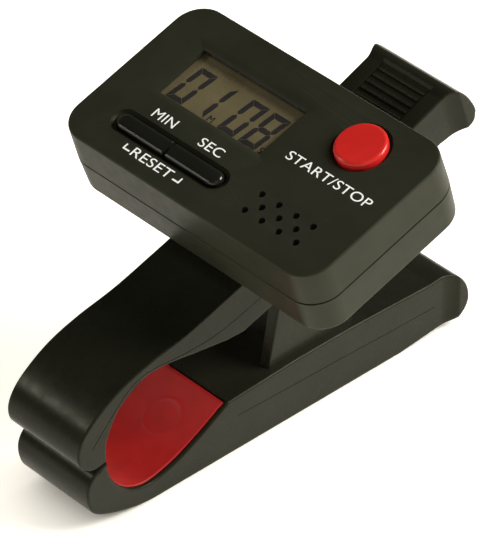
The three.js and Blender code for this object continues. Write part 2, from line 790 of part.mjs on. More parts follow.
// The spring's wire about the pin: in along the lower leg, round the coil, out along the upper leg.
class SpringPath extends THREE.Curve {
  constructor() {
    super();
    const tangent = (end, side) =>
      Math.atan2(end.z, end.y) + side * Math.acos(springRadius / Math.hypot(end.y, end.z));
    this.from = tangent(lowerLegEnd, 1);
    this.to = tangent(upperLegEnd, -1) + springTurns * Math.PI * 2;
    this.coil = (this.to - this.from) * springRadius;
    this.legIn = Math.sqrt(Math.hypot(lowerLegEnd.y, lowerLegEnd.z) ** 2 - springRadius ** 2);
    this.legOut = Math.sqrt(Math.hypot(upperLegEnd.y, upperLegEnd.z) ** 2 - springRadius ** 2);
    this.halfWidth = ((this.to - this.from) / (Math.PI * 2)) * springPitch * 0.5;
  }

  getPoint(t, target = new THREE.Vector3()) {
    const along = t * (this.legIn + this.coil + this.legOut) - this.legIn;
    const onCoil = Math.min(Math.max(along, 0), this.coil);
    const angle = this.from + onCoil / springRadius;
    const past = along - onCoil;
    return target.set(
      this.halfWidth * (2 * (onCoil / this.coil) - 1),
      springRadius * Math.cos(angle) - past * Math.sin(angle),
      springRadius * Math.sin(angle) + past * Math.cos(angle) + pivotHeight,
    );
  }
}

function torsionSpring() {
  const wire = new THREE.Shape();
  wire.absarc(0, 0, wireRadius, 0, Math.PI * 2);
  return toSolid(new THREE.ExtrudeGeometry(wire, {
    steps: 130,
    curveSegments: 4,
    extrudePath: new SpringPath(),
  }));
}

function raised(solid) {
  const geometry = toGeometry(solid);
  geometry.translate(0, 0, pivotHeight);
  return toSolid(geometry);
}

const ringEnd = half + gap + pinHeadThickness;
const pinTail = 0.5;

function pivotPin() {
  return raised(joinAll([
    rodX(pinRadius, -ringEnd + bite, ringEnd + pinTail),
    rodX(pinHeadRadius, -ringEnd, -half - gap),
  ]));
}

function pinClip() {
  const ring = rodX(pinHeadRadius, half + gap, ringEnd);
  return raised(ring.subtract(rodX(pinRadius + gap, half, ringEnd + overcut)));
}

const roofUnder = -(headHeight + swivelBossHeight + gap + roofThickness);

function swivelWasher() {
  const top = roofUnder - gap;
  const ring = disc(middle, swivelScrewHead + washerMargin, top - washerThickness, top);
  return ring.subtract(disc(middle, swivelScrewRadius + gap, top - washerThickness - overcut, top + overcut));
}

function swivelScrew() {
  const head = roofUnder - 2 * gap - washerThickness - swivelScrewHeadHeight;
  const tip = -headHeight + swivelHoleDepth - gap;
  return screw(middle, swivelScrewRadius, swivelScrewHead, swivelScrewHeadHeight, head, tip);
}

buildHead();
add(headGroup, 'swivel_screw', swivelScrew(), 'steel');
add(headGroup, 'swivel_washer', swivelWasher(), 'steel');
add(upperGroup, 'upper_arm', upperArm(), 'arm');
add(upperGroup, 'upper_jaw_pad', jawPad(upperJaw, padShares.upper, -1), 'pad');
add(clip, 'lower_arm', lowerArm(), 'arm');
add(clip, 'lower_jaw_pad', jawPad(lowerJaw, padShares.lower, 1), 'pad');
add(clip, 'pivot_pin', pivotPin(), 'steel');
add(clip, 'pin_clip', pinClip(), 'steel');
add(clip, 'torsion_spring', torsionSpring(), 'steel');

export default clip;
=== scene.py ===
"""Clip-on countdown timer: detailed pieces, materials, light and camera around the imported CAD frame."""
import json
import math

import bmesh
import bpy
from mathutils import Matrix, Vector


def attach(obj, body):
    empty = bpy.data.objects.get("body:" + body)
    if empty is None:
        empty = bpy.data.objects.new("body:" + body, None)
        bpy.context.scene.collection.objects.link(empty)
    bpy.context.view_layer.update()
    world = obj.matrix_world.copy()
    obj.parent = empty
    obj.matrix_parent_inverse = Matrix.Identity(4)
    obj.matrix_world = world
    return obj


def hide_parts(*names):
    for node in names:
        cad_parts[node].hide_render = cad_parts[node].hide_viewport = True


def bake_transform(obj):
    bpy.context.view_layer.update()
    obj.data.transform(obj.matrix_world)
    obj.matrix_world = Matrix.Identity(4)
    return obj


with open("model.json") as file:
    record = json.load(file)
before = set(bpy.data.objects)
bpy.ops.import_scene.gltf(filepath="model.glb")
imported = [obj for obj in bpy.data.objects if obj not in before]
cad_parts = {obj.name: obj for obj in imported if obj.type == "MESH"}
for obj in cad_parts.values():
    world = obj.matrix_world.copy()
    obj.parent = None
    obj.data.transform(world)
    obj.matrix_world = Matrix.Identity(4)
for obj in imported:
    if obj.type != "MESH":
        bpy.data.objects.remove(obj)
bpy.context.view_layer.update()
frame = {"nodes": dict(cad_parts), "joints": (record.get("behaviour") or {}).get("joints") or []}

MM = 0.001
SCENE = bpy.context.scene
JOINTS = {joint["name"]: joint for joint in frame["joints"]}

# ---- sizes, in millimetres, as in the CAD ----
HEAD_W, HEAD_D, HEAD_H = 70.0, 38.9, 15.9
FRONT_H = 7.9
CORNER = 6.2
WALL = 1.6
FACE = 2.0
GAP = 0.3
DRAFT = 0.2
REAR_TAPER = 0.27
DISPLAY = (-10.75, 4.8)
WINDOW = (28.5, 12.7)
BEVEL = (3.1, 1.85)
BEVEL_DROP = 0.95
START = (19.4, 10.45)
START_R = 5.3
START_PROUD = 1.2
ROW = (-11.2, -11.0)
ROW_LENGTH = 14.0
ROW_DEPTH = 3.8
ROW_SPLIT = 0.5
ROW_PROUD = 0.55
SPEAKER = (18.75, -10.96)
SPEAKER_PITCH = 4.6
CELL = (21.0, 0.0)
CAP_R = 7.6
ARM_HALF = 10.2
ARM_TOP = 11.3
ROOF = 1.7
SKIRT = 1.45
PIVOT_Z = 33.25
PIN_R = 1.5
EAR_R = 5.2
CHEEK_R = 6.5
CHEEK = 2.7
LOWER_TOP = 13.7
PAD = 1.2
PAD_PROUD = 0.1
PAD_INSET = 1.1
UPPER_PAD, LOWER_PAD = (0.04, 0.97), (0.03, 0.985)
WIRE_R = 0.6
COIL_R = 3.3
HEAD_SHIFT = 2.0
SWIVEL_RISE = 2.0
SWIVEL_R = 1.9
BOSS_R = 8
SCREW_EDGE = 5
CAP_THICK = 1.4
SOUND_R = 0.75
WINDOW_CORNER = 0.35
START_RIM = 0.45
ROUND_END = 9
FLANGE = 1.2
FLANGE_LOW, FLANGE_HIGH = -3.1, -2.3
STEM_FOOT = -5.2

# ---- camera, in the head's frame: millimetres and degrees ----
CAMERA_EYE = (521.437, -308.554, 627.882)
CAMERA_TARGET = (21.360, -23.669, 0)
CAMERA_ROLL = 19.276
CAMERA_LENS = 312.667
CAMERA_SENSOR = 36

# ---- frames of the three bodies ----
pivot = Vector(JOINTS["clamp_hinge"]["pos_m"])
head_up = Vector(JOINTS["head_swivel"]["axis"])
TILT = math.atan2(-head_up.y, head_up.z)
GROUND = Matrix.Identity(4)
PIN = Matrix.Translation(pivot)
ARM = PIN @ Matrix.Rotation(TILT, 4, "X")
FACE_UP = ARM_TOP + GAP + SWIVEL_RISE + HEAD_H
HEAD = ARM @ Matrix.Translation(Vector((0, HEAD_SHIFT, FACE_UP)) * MM)
ACROSS = Matrix.Rotation(math.pi / 2, 4, "Y")


# ---- mesh tools ----
def new_object(name, verts, faces, place=GROUND):
    """A mesh object from points in millimetres, set in the row frame."""
    mesh = bpy.data.meshes.new(name)
    mesh.from_pydata([place @ (Vector(v) * MM) for v in verts], [], faces)
    work = bmesh.new()
    work.from_mesh(mesh)
    bmesh.ops.remove_doubles(work, verts=work.verts, dist=1e-7)
    bmesh.ops.recalc_face_normals(work, faces=work.faces)
    work.to_mesh(mesh)
    work.free()
    obj = bpy.data.objects.new(name, mesh)
    SCENE.collection.objects.link(obj)
    return obj


def ring_solid(name, rings, place=GROUND):
    """A closed solid through rings of points, the first and last capped."""
    count = len(rings[0])
    verts = [point for ring in rings for point in ring]
    faces = [tuple(range(count)), tuple(range((len(rings) - 1) * count, len(rings) * count))]
    for level in range(len(rings) - 1):
        for i in range(count):
            j = (i + 1) % count
            a, b = level * count, (level + 1) * count
            faces.append((a + i, a + j, b + j, b + i))
    return new_object(name, verts, faces, place)


def rounded_rectangle(centre, width, depth, radius, steps=10):
    points = []
    radius = min(radius, width / 2 - 1e-3, depth / 2 - 1e-3)
    for quarter, (sx, sy) in enumerate(((1, -1), (1, 1), (-1, 1), (-1, -1))):
        for i in range(steps + 1):
            angle = math.radians(-90 + 90 * quarter + 90 * i / steps)
            x = centre[0] + sx * (width / 2 - radius) + radius * math.cos(angle)
            y = centre[1] + sy * (depth / 2 - radius) + radius * math.sin(angle)
            points.append((x, y))
    return points


def plate(name, centre, levels, place=HEAD, steps=10):
    """A rounded-rectangle solid through (width, depth, radius, z) levels."""
    rings = []
    for width, depth, radius, z in levels:
        rings.append([(x, y, z) for x, y in rounded_rectangle(centre, width, depth, radius, steps)])
    return ring_solid(name, rings, place)


def lathe(name, centre, profile, place=HEAD, steps=48):
    """A turned solid on the local Z axis at centre, from (radius, z) pairs that start and end on the axis."""
    verts, faces, rows = [], [], []
    for radius, z in profile:
        if radius < 1e-6:
            rows.append([len(verts)] * steps)
            verts.append((centre[0], centre[1], z))
            continue
        rows.append(list(range(len(verts), len(verts) + steps)))
        for i in range(steps):
            angle = 2 * math.pi * i / steps
            verts.append((centre[0] + radius * math.cos(angle), centre[1] + radius * math.sin(angle), z))
    for low, high in zip(rows, rows[1:]):
        for i in range(steps):
            j = (i + 1) % steps
            face = [low[i], low[j], high[j], high[i]]
            face = [v for k, v in enumerate(face) if v not in face[:k]]
            if len(face) > 2:
                faces.append(face)
    return new_object(name, verts, faces, place)


def rod(name, centre, radius, low, high, place=HEAD, steps=32):
    return lathe(name, centre, [(0, low), (radius, low), (radius, high), (0, high)], place, steps)


def box(name, low, high, place=GROUND):
    rings = []
    for z in (low[2], high[2]):
        rings.append([(low[0], low[1], z), (high[0], low[1], z), (high[0], high[1], z), (low[0], high[1], z)])
    return ring_solid(name, rings, place)


def arc(centre, radius, start, end, steps):
    """Points on an arc, in degrees."""
    points = []
    for i in range(steps + 1):
        angle = math.radians(start + (end - start) * i / steps)
        points.append((centre[0] + radius * math.cos(angle), centre[1] + radius * math.sin(angle)))
    return points


def spline(points, steps=8):
    """A smooth line through the points."""
    line = []
    last = len(points) - 1
    for i in range(last):
        p0, p1, p2, p3 = (Vector(points[min(max(i + k, 0), last)]) for k in (-1, 0, 1, 2))
        v0, v1 = (p2 - p0) / 2, (p3 - p1) / 2
        for k in range(steps):
            u = k / steps
            cubic = (2 * p1 - 2 * p2 + v0 + v1) * u ** 3
            square = (3 * p2 - 3 * p1 - 2 * v0 - v1) * u ** 2
            line.append(cubic + square + v0 * u + p1)
    line.append(Vector(points[last]))
    return [tuple(p) for p in line]


def spaced(line, count, start=0.0, end=1.0):
    """count + 1 points at even steps along a line, between two shares of its length."""
    lengths = [0.0]
    for a, b in zip(line, line[1:]):
        lengths.append(lengths[-1] + (Vector(b) - Vector(a)).length)
    points, at = [], 0
    for i in range(count + 1):
        want = lengths[-1] * (start + (end - start) * i / count)
        while at < len(line) - 2 and lengths[at + 1] < want:
            at += 1
        share = (want - lengths[at]) / max(lengths[at + 1] - lengths[at], 1e-9)
        points.append(Vector(line[at]).lerp(Vector(line[at + 1]), share))
    return points


def normal_at(line, i):
    """The unit normal on the left of a line at its point i."""
    tangent = (Vector(line[min(i + 1, len(line) - 1)]) - Vector(line[max(i - 1, 0)])).normalized()
    return Vector((-tangent.y, tangent.x))


def inset(outline, distance):
    """The closed outline, drawn in by a small distance."""
    turn = sum(a[0] * b[1] - b[0] * a[1] for a, b in zip(outline, outline[1:] + outline[:1]))
    side = 1 if turn > 0 else -1
    moved = []
    for i, point in enumerate(outline):
        before = (Vector(point) - Vector(outline[i - 1])).normalized()
        after = (Vector(outline[(i + 1) % len(outline)]) - Vector(point)).normalized()
        normal = Vector((-(before.y + after.y), before.x + after.x))
        if normal.length < 1e-6:
            normal = Vector((-after.y, after.x))
        normal.normalize()
        reach = min(1 / max(normal.dot(Vector((-after.y, after.x))), 0.2), 1.6)
        moved.append(tuple(Vector(point) + normal * side * distance * reach))
    return moved


def tidy_outline(outline, least=0.02):
    """The outline without points closer than least."""
    kept = []
    for point in outline:
        if not kept or (Vector(point) - Vector(kept[-1])).length > least:
            kept.append(tuple(point))
    if (Vector(kept[0]) - Vector(kept[-1])).length < least:
        kept.pop()
    return kept


def side_solid(name, outline, low, high, place, rounding=0.0, steps=4):
    """A slab across X between low and high with the outline in the YZ plane and rounded side edges."""
    outline = tidy_outline(outline)
    sections = []
    if rounding:
        for i in range(steps + 1):
            angle = math.pi / 2 * i / steps
            sections.append((rounding * (1 - math.sin(angle)), low + rounding * (1 - math.cos(angle))))
        sections += [(d, low + high - x) for d, x in reversed(sections)]
    else:
        sections = [(0, low), (0, high)]
    rings = [[(x, y, z) for y, z in (inset(outline, d) if d else outline)] for d, x in sections]
    return ring_solid(name, rings, place)


def settle(obj):
    """Bakes the modifiers into the mesh."""
    bpy.context.view_layer.update()
    mesh = bpy.data.meshes.new_from_object(obj.evaluated_get(bpy.context.evaluated_depsgraph_get()))
    obj.modifiers.clear()
    obj.data = mesh


def boolean(obj, tools, operation="DIFFERENCE"):
    for tool in tools:
        step = obj.modifiers.new("cut", "BOOLEAN")
        step.operation = operation
        step.solver = "EXACT"
        step.object = tool
    settle(obj)
    for tool in tools:
        bpy.data.objects.remove(tool)


def smooth(obj, edge=0.0, segments=2, angle=32):
    """Rounds sharp edges by edge millimetres and shades the rest smooth."""
    if edge:
        step = obj.modifiers.new("edge", "BEVEL")
        step.width = edge * MM
        step.segments = segments
        step.limit_method = "ANGLE"
        step.angle_limit = math.radians(angle)
        settle(obj)
    obj.data.shade_smooth()
    obj.data.set_sharp_from_angle(angle=math.radians(angle))
    step = obj.modifiers.new("normals", "WEIGHTED_NORMAL")
    step.keep_sharp = True
    settle(obj)


def place_piece(obj, body, material, slot, *nodes):
    """Gives a piece its material and body, and hides the CAD nodes that it stands in for. slot is not used.
    """
    obj.data.materials.clear()
    obj.data.materials.append(material)
    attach(obj, body)
    if nodes:
        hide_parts(*nodes)


# ---- materials ----
class Nodes:
    """A short way to write a node material."""

    def __init__(self, name):
        self.material = bpy.data.materials.new(name)
        self.material.use_nodes = True
        self.tree = self.material.node_tree
        self.shader = self.tree.nodes["Principled BSDF"]
        self.place = self.add("ShaderNodeTexCoord").outputs["Object"]

    def add(self, kind, **values):
        node = self.tree.nodes.new(kind)
        for key, value in values.items():
            setattr(node, key, value)
        return node

    def link(self, source, target):
        self.tree.links.new(source, target)

    def noise(self, size_mm, detail=4.0, rough=0.55, stretch=(1, 1, 1)):
        """Noise with blobs of about size_mm."""
        scaled = self.add("ShaderNodeMapping")
        scaled.inputs["Scale"].default_value = [s / (size_mm * MM) for s in stretch]
        self.link(self.place, scaled.inputs["Vector"])
        node = self.add("ShaderNodeTexNoise")
        node.inputs["Scale"].default_value = 1.0
        node.inputs["Detail"].default_value = detail
        node.inputs["Roughness"].default_value = rough
        self.link(scaled.outputs["Vector"], node.inputs["Vector"])
        return node.outputs["Fac"]

    def spread(self, source, low, high, start=0.3, end=0.7):
        node = self.add("ShaderNodeMapRange")
        for key, value in (("From Min", start), ("From Max", end), ("To Min", low), ("To Max", high)):
            node.inputs[key].default_value = value
        self.link(source, node.inputs["Value"])
        return node.outputs["Result"]

    def mix(self, source, first, second):
        node = self.add("ShaderNodeMix", data_type="RGBA")
        self.link(source, node.inputs["Factor"])
        for key, value in (("A", first), ("B", second)):
            socket = [s for s in node.inputs if s.name == key and s.type == "RGBA"][0]
            if isinstance(value, tuple):
                socket.default_value = (*value, 1)
            else:
                self.link(value, socket)
        return [s for s in node.outputs if s.type == "RGBA"][0]

    def bump(self, source, height_mm, strength=1.0, below=None):
        node = self.add("ShaderNodeBump")
        node.inputs["Strength"].default_value = strength
        node.inputs["Distance"].default_value = height_mm * MM
        self.link(source, node.inputs["Height"])
        if below:
            self.link(below, node.inputs["Normal"])
        self.link(node.outputs["Normal"], self.shader.inputs["Normal"])
        return node.outputs["Normal"]

    def set(self, **values):
        for key, value in values.items():
            self.shader.inputs[key.replace("_", " ")].default_value = value


def plastic(name, dark, light, rough, grain_mm, grain_height, gloss=0.5, coat=0.0, tint=(1, 1, 1)):
    """Moulded plastic: mottled colour, uneven sheen, a fine grain and slow ripples from the mould."""
    m = Nodes(name)
    m.link(m.mix(m.spread(m.noise(9, 3), 0, 1), dark, light), m.shader.inputs["Base Color"])
    m.link(m.spread(m.noise(2.2, 5), *rough), m.shader.inputs["Roughness"])
    ripple = m.bump(m.noise(7, 2), 0.03, 0.35)
    m.bump(m.noise(grain_mm, 2), grain_height, 0.6, ripple)
    m.set(Specular_IOR_Level=gloss, Coat_Weight=coat, Coat_Roughness=0.08)
    m.shader.inputs["Specular Tint"].default_value = (*tint, 1)
    return m.material


OLIVE = (0.98, 0.97, 0.76)


def metal(name, dark, light, rough, stretch=(1, 1, 1)):
    m = Nodes(name)
    m.link(m.mix(m.spread(m.noise(1.6, 5), 0, 1), dark, light), m.shader.inputs["Base Color"])
    m.link(m.spread(m.noise(0.5, 5, 0.6, stretch), *rough), m.shader.inputs["Roughness"])
    m.bump(m.noise(0.25, 3, 0.6, stretch), 0.008, 0.5)
    m.set(Metallic=1.0)
    return m.material


def rubber(name, dark, light):
    """Moulded thermoplastic rubber: soft sheen, fine grain, a little dust."""
    m = Nodes(name)
    m.link(m.mix(m.spread(m.noise(6, 4), 0, 1), dark, light), m.shader.inputs["Base Color"])
    m.link(m.spread(m.noise(1.2, 5), 0.42, 0.56), m.shader.inputs["Roughness"])
    m.bump(m.noise(0.3, 3), 0.012, 0.5, m.bump(m.noise(5, 2), 0.06, 0.4))
    m.set(Subsurface_Weight=0.06, Subsurface_Scale=0.0008, Sheen_Weight=0.06)
    m.shader.inputs["Subsurface Radius"].default_value = (1.0, 0.2, 0.1)
    return m.material


case_black = plastic("case_black", (0.0245, 0.0262, 0.0172), (0.0310, 0.0332, 0.0225),
                     (0.36, 0.46), 0.28, 0.012, 0.13, tint=OLIVE)
arm_black = plastic("arm_black", (0.0140, 0.0150, 0.0098), (0.0185, 0.0197, 0.0130),
                    (0.22, 0.32), 0.5, 0.006, 0.12, tint=OLIVE)
button_black = plastic("button_black", (0.0085, 0.0092, 0.0066), (0.0120, 0.0128, 0.0095),
                       (0.14, 0.22), 0.4, 0.004, 0.5)
button_red = plastic("button_red", (0.68, 0.020, 0.017), (0.78, 0.028, 0.024), (0.20, 0.27), 0.4, 0.004, 0.5)
pad_red = rubber("pad_red", (0.39, 0.006, 0.005), (0.48, 0.009, 0.007))
steel = metal("steel_plated", (0.50, 0.50, 0.51), (0.66, 0.66, 0.67), (0.18, 0.34))
spring_wire = metal("spring_wire", (0.38, 0.38, 0.39), (0.55, 0.55, 0.55), (0.22, 0.36))
brass = metal("buzzer_brass", (0.60, 0.42, 0.16), (0.80, 0.60, 0.28), (0.24, 0.40))


def lcd_face(name, dark, light):
    """The display's glass: a grey-brown reflector under a faintly streaked polariser."""
    m = Nodes(name)
    cloudy = m.mix(m.spread(m.noise(5, 3), 0, 1), dark, light)
    m.link(m.mix(m.spread(m.noise(0.35, 2), 0, 0.35), cloudy, light), m.shader.inputs["Base Color"])
    m.link(m.spread(m.noise(3, 4), 0.22, 0.30), m.shader.inputs["Roughness"])
    m.bump(m.noise(0.3, 2), 0.003, 0.4)
    m.set(Specular_IOR_Level=0.3, Coat_Weight=0.4, Coat_Roughness=0.12)
    return m.material


lcd_ground = lcd_face("lcd_ground", (0.146, 0.122, 0.066), (0.186, 0.156, 0.086))
lcd_segment = lcd_face("lcd_segment", (0.024, 0.024, 0.026), (0.036, 0.034, 0.034))


def printed(name):
    """Pad-printed white ink, slightly uneven, with a faint painted glow."""
    m = Nodes(name)
    patchy = m.mix(m.spread(m.noise(0.6, 4), 0, 1), (0.88, 0.88, 0.86), (0.96, 0.96, 0.95))
    m.link(patchy, m.shader.inputs["Base Color"])
    m.link(m.spread(m.noise(0.4, 3), 0.45, 0.6), m.shader.inputs["Roughness"])
    m.bump(m.noise(0.15, 2), 0.004, 0.5)
    # painted glow: the ink gives off a little light of its own, so it reads brighter than the lamps alone
    # make it
    m.set(Emission_Strength=0.22)
    m.shader.inputs["Emission Color"].default_value = (1, 1, 1, 1)
    return m.material


glowing_ink = printed("white_ink_painted_glow")


# ---- head: shells ----
def case_screw_places():
    """Centres of the four case screws."""
    x, y = HEAD_W / 2 - SCREW_EDGE, HEAD_D / 2 - SCREW_EDGE
    return [(sx * x, sy * y) for sx in (-1, 1) for sy in (-1, 1)]


def speaker_places():
    """Centres of the sound holes: staggered rows of four, three and four."""
    places = []
    for row, count in ((-1, 4), (0, 3), (1, 4)):
        for i in range(count):
            across = SPEAKER[0] + (i - (count - 1) / 2) * SPEAKER_PITCH
            places.append((across, SPEAKER[1] + row * SPEAKER_PITCH / 2))
    return places


def case_levels(edge_low, edge_high, z_low, z_high, wide_low, wide_high, steps=5):
    """Levels of a shell with rounded lower and upper edges. wide_low and wide_high are its foot's and its
    top's overhang past the face's outline."""
    levels = []

    def level(shrink, z):
        over = wide_high + (wide_low - wide_high) * (z_high - z) / (z_high - z_low) - shrink
        levels.append((HEAD_W + 2 * over, HEAD_D + 2 * over, CORNER + over, z))

    for i in range(steps + 1):
        angle = math.pi / 2 * i / steps
        level(edge_low * (1 - math.sin(angle)), z_low + edge_low * (1 - math.cos(angle)))
    for i in range(steps + 1):
        angle = math.pi / 2 * i / steps
        level(edge_high * (1 - math.cos(angle)), z_high - edge_high * (1 - math.sin(angle)))
    return levels


def front_case():
    """The shell with the face: display frame, button openings and sound holes."""
    shell = plate("front_case_shell", (0, 0), case_levels(0.15, 0.45, -FRONT_H, 0, DRAFT, 0), steps=14)
    row_length = 2 * ROW_LENGTH + ROW_SPLIT
    recess, ends = 0.85, 1.3
    bevel_w, bevel_d = WINDOW[0] + 2 * BEVEL[0], WINDOW[1] + 2 * BEVEL[1]
    grow = 0.05
    tools = [
        plate("hollow", (0, 0), [
            (HEAD_W - 2 * WALL, HEAD_D - 2 * WALL, CORNER - WALL, z) for z in (-FRONT_H - 1, -FACE)
        ]),
        plate("bevel", DISPLAY, [
            (WINDOW[0], WINDOW[1], WINDOW_CORNER, -BEVEL_DROP),
            (bevel_w + 2 * grow, bevel_d + 2 * grow, 0.5, grow),
        ], steps=4),
        plate("window", DISPLAY, [
            (WINDOW[0], WINDOW[1], WINDOW_CORNER, z) for z in (-FACE - 1, -BEVEL_DROP / 2)
        ], steps=4),
        plate("recess", ROW, [
            (row_length + 2 * ends + wider, ROW_DEPTH + 2 * recess + wider, ROUND_END, z)
            for wider, z in ((-0.6, -0.7), (0, -0.35), (0.2, 0.05), (0.2, 1))
        ], steps=14),
        plate("slot", ROW, [
            (row_length + 2 * GAP, ROW_DEPTH + 2 * GAP, ROUND_END, z) for z in (-FACE - 1, 1)
        ], steps=14),
        lathe("start_hole", START, [
            (0, -FACE - 1), (START_R + GAP, -FACE - 1), (START_R + GAP, -0.5),
            (START_R + GAP + START_RIM, -0.4), (START_R + GAP + START_RIM, 1), (0, 1),
        ], steps=64),
    ]
    tools += [rod("sound", at, SOUND_R, -FACE - 1, 1, steps=24) for at in speaker_places()]
    boolean(shell, tools)
    smooth(shell, 0.12, 2)
    place_piece(shell, "head", case_black, "case_plastic", "front_case")


def rear_case():
    """The shell with the swivel boss, cap opening and screw holes."""
    levels = case_levels(0.6, 0.15, -HEAD_H, -FRONT_H - GAP, DRAFT - REAR_TAPER, DRAFT)
    shell = plate("rear_case_shell", (0, 0), levels, steps=14)
    foot, chamfer, bite = -HEAD_H - SWIVEL_RISE, 0.3, 0.6
    boss = lathe("boss", (0, 0), [
        (0, foot), (BOSS_R - chamfer, foot), (BOSS_R, foot + chamfer), (BOSS_R, -HEAD_H + bite),
        (0, -HEAD_H + bite),
    ], steps=64)
    boolean(shell, [boss], "UNION")
    inner = [HEAD_W - 2 * WALL, HEAD_D - 2 * WALL]
    tools = [
        plate("hollow", (0, 0), [
            (inner[0] - 2 * REAR_TAPER, inner[1] - 2 * REAR_TAPER, CORNER - WALL, -HEAD_H + WALL),
            (inner[0], inner[1], CORNER - WALL, -FRONT_H + 1),
        ]),
        rod("cap_hole", CELL, CAP_R + GAP, -HEAD_H - 1, -FRONT_H + 1, steps=64),
        rod("swivel_hole", (0, 0), SWIVEL_R, foot - 1, -HEAD_H + 2.8),
    ]
    sunk_r, sunk, bore_r = 2.4, 1.45, 1.2
    for at in case_screw_places():
        tools.append(lathe("screw_hole", at, [
            (0, -HEAD_H - 1), (sunk_r, -HEAD_H - 1), (sunk_r, -HEAD_H + sunk), (bore_r, -HEAD_H + sunk),
            (bore_r, -FRONT_H + 1), (0, -FRONT_H + 1),
        ]))
    boolean(shell, tools)
    smooth(shell, 0.15, 2)
    place_piece(shell, "head", case_black, "case_plastic", "rear_case")


def battery_cap():
    """The cap with its coin slot and two dimples."""
    low, high = -HEAD_H, -HEAD_H + CAP_THICK
    cap = lathe("battery_cap_disc", CELL, [
        (0, low), (CAP_R - 0.35, low), (CAP_R - 0.1, low + 0.1),
        (CAP_R, low + 0.35), (CAP_R, high), (0, high),
    ], steps=72)
    coin = plate("coin", CELL, [(10.5, 1.9, 0.95, z) for z in (low - 1, low + 0.75)])
    dimple_at, dimple_r = 5.6, 0.55
    dimples = [rod("dimple", (CELL[0], CELL[1] + side * dimple_at), dimple_r, low - 1, low + 0.25, steps=16)
               for side in (-1, 1)]
    boolean(cap, [coin, *dimples])
    smooth(cap, 0.1, 2)
    place_piece(cap, "battery_cap", case_black, "case_plastic", "battery_cap")


# ---- head: buttons ----
def start_button():
    """The START/STOP cap: stem, flange and a slightly dished top."""
    rim = 0.75
    top = START_PROUD
    stem_r = 1.8
    profile = [(0, STEM_FOOT), (stem_r, STEM_FOOT), (stem_r, FLANGE_LOW), (START_R + FLANGE, FLANGE_LOW),
               (START_R + FLANGE, FLANGE_HIGH), (START_R, FLANGE_HIGH)]
    profile += [(START_R - rim + rim * math.cos(a), top - rim + rim * math.sin(a))
                for a in (math.pi / 2 * i / 8 for i in range(9))]
    profile += [(START_R - rim - 0.25, top - 0.015), (START_R * 0.6, top - 0.05),
                (START_R * 0.3, top - 0.07), (0, top - 0.075)]
    cap = lathe("start_stop_cap", START, profile, steps=96)
    smooth(cap)
    place_piece(cap, "start_stop_button", button_red, "red_button_plastic", "start_stop_button")


def half_pill(flat, side, length, depth, steps=16):
    radius = depth / 2
    centre = (flat + side * (length - radius), ROW[1])
    start = -90 if side > 0 else 90
    end = arc(centre, radius, start, start + 180, steps)
    return [(flat, ROW[1] - side * radius), *end, (flat, ROW[1] + side * radius)]


def row_button(name, side, body, node):
    flat = ROW[0] + side * ROW_SPLIT / 2
    rings = []
    crown = 0.95
    steps = ((0, -2.5), (0, -0.35), (0.12, 0.0), (0.4, ROW_PROUD - 0.18), (crown, ROW_PROUD),
             (crown + 0.35, ROW_PROUD))
    for shrink, z in steps:
        trim = min(shrink, 0.3)
        outline = half_pill(flat + side * trim, side, ROW_LENGTH - shrink - trim, ROW_DEPTH - 2 * shrink)
        rings.append([(x, y, z) for x, y in outline])
    cap = ring_solid(name, rings, HEAD)
    foot = half_pill(flat, side, ROW_LENGTH + FLANGE, ROW_DEPTH + 2 * FLANGE)
    flange = ring_solid("flange", [[(x, y, z) for x, y in foot] for z in (FLANGE_LOW, FLANGE_HIGH)], HEAD)
    stem_r = 1.25
    stem = rod("stem", (flat + side * ROW_LENGTH / 2, ROW[1]), stem_r, STEM_FOOT, -2.9, steps=20)
    boolean(cap, [flange, stem], "UNION")
    smooth(cap, 0.06, 2)
    place_piece(cap, body, button_black, "button_plastic", node)


# ---- head: display ----
LCD_Z = -FACE - GAP
SEGMENTS = {"0": "abcdef", "1": "bc", "8": "abcdefg"}
DIGIT_W, DIGIT_H, BAR, SLANT = 4.5, 9.1, 1.15, 0.12
DIGIT_FOOT = -0.75


def segment_outline(letter):
    """One bar of a seven-segment digit, with mitred ends, before slanting."""
    half, reach = BAR / 2, 0.1
    middle = DIGIT_H / 2
    if letter in "adg":
        y = {"a": DIGIT_H - half, "d": half, "g": middle}[letter]
        left, right = half + reach, DIGIT_W - half - reach
        if letter == "g":
            return [(left, y), (left + half, y - half), (right - half, y - half), (right, y),
                    (right - half, y + half), (left + half, y + half)]
        out = half if letter == "a" else -half
        return [(left - half, y + out), (left + half, y - out),
                (right - half, y - out), (right + half, y + out)]
    x = half if letter in "ef" else DIGIT_W - half
    out = -half if letter in "ef" else half
    low, high = (middle + reach, DIGIT_H - half - reach) if letter in "bf" else (half + reach, middle - reach)
    if letter in "bf":
        return [(x, low), (x + out, low + half), (x + out, high + half),
                (x - out, high - half), (x - out, low + half)]
    return [(x, high), (x + out, high - half), (x + out, low - half),
            (x - out, low + half), (x - out, high - half)]


def lcd_digits():
    """The four seven-segment digits, as one thin piece over the glass."""
    verts, faces = [], []
    for left, digit in ((-24.0, "0"), (-18.1, "1"), (-9.55, "0"), (-3.7, "8")):
        for letter in SEGMENTS[digit]:
            outline = segment_outline(letter)
            low, high = LCD_Z + 0.01, LCD_Z + 0.05
            start, count = len(verts), len(outline)
            for z in (low, high):
                for x, y in outline:
                    verts.append((left + x + SLANT * y, DIGIT_FOOT + y, z))
            faces.append(tuple(range(start, start + count)))
            faces.append(tuple(range(start + count, start + 2 * count)))
            for i in range(count):
                j = (i + 1) % count
                faces.append((start + i, start + j, start + count + j, start + count + i))
    digits = new_object("lcd_digits", verts, faces, HEAD)
    place_piece(digits, "head", lcd_segment, "lcd_glass")


